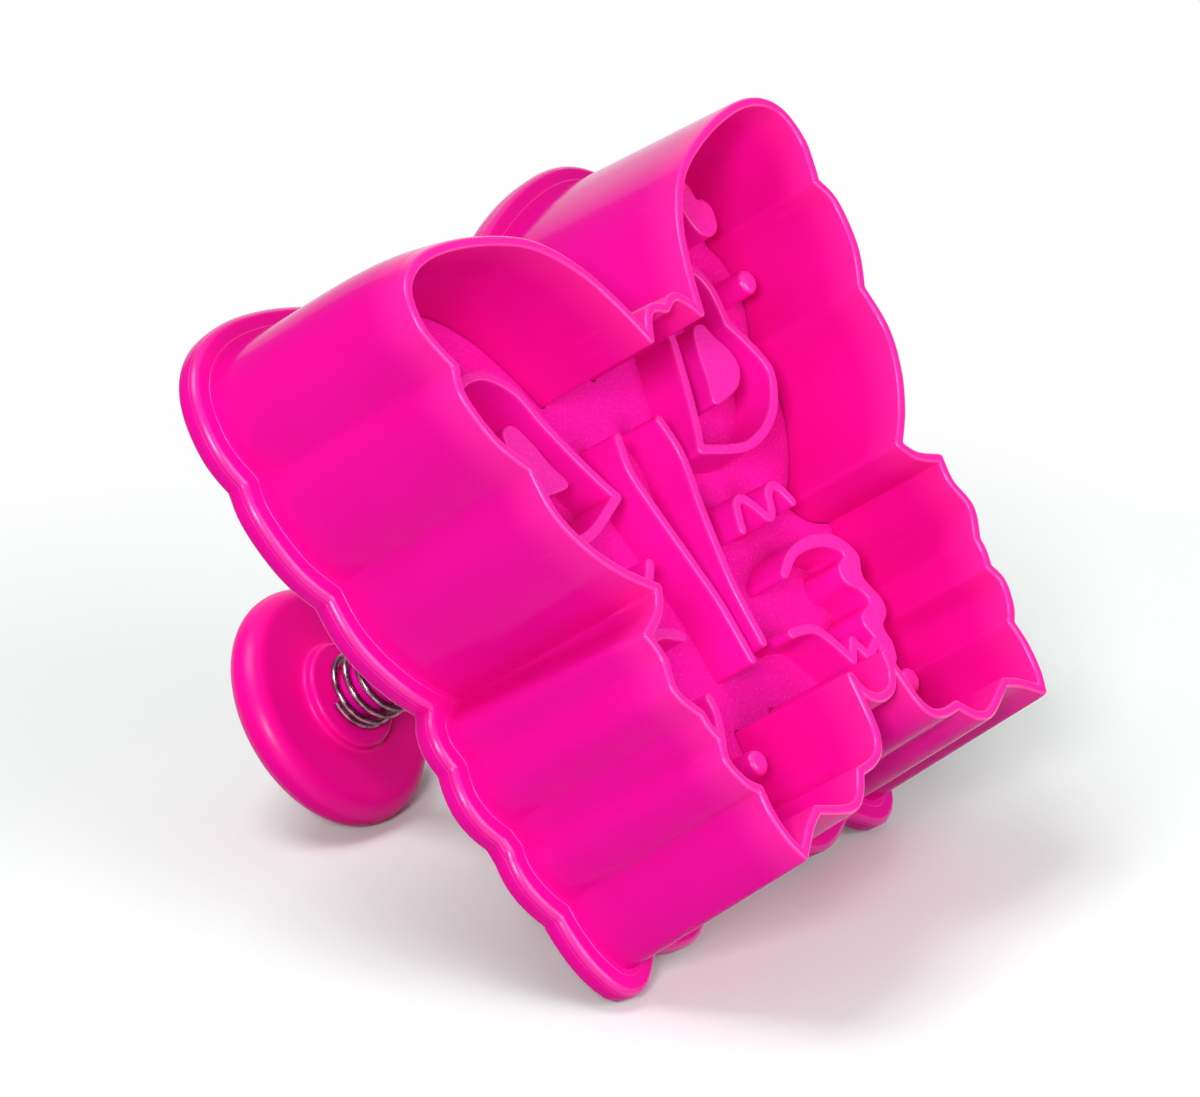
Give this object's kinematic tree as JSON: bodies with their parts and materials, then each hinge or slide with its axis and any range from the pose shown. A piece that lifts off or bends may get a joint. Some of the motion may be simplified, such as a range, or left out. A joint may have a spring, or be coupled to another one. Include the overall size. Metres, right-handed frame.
{
  "type": "butterfly plunger cutter",
  "caption": "Butterfly-shaped plunger cutter: a thin cutting wall with a flange, and a sprung embossing stamp inside it that a round knob pushes out.",
  "frame": {"origin": "middle of the outline's box, in the plane of the cutting edge", "axes": "+Z from the cutting edge towards the knob, +Y towards the butterfly's head, +X across the wings"},
  "size_m": [0.0786, 0.0704, 0.0586],
  "materials": {
    "shell_plastic": "hot-pink moulded plastic, polished with fine rubbing marks",
    "stamp_plastic": "hot-pink moulded plastic with a fine spark-eroded grain on its flat faces",
    "knob_plastic": "hot-pink moulded plastic, softly polished",
    "spring_steel": "bright drawn spring wire"
  },
  "bodies": {
    "cutter": {"cutter_shell": "shell_plastic", "return_spring": "spring_steel"},
    "plunger": {"stamp_plate": "stamp_plastic", "plunger_stem": "stamp_plastic", "knob": "knob_plastic", "knob_cap": "knob_plastic", "stem_screw": "spring_steel"}
  },
  "joints": [
    {"name": "plunger_press", "type": "slide", "parent": "cutter", "child": "plunger", "axis": [0, 0, -1], "range_m": [0, 0.009], "stiffness_N_per_m": 400, "springref_m": -0.004, "deforming": ["return_spring"]}
  ]
}
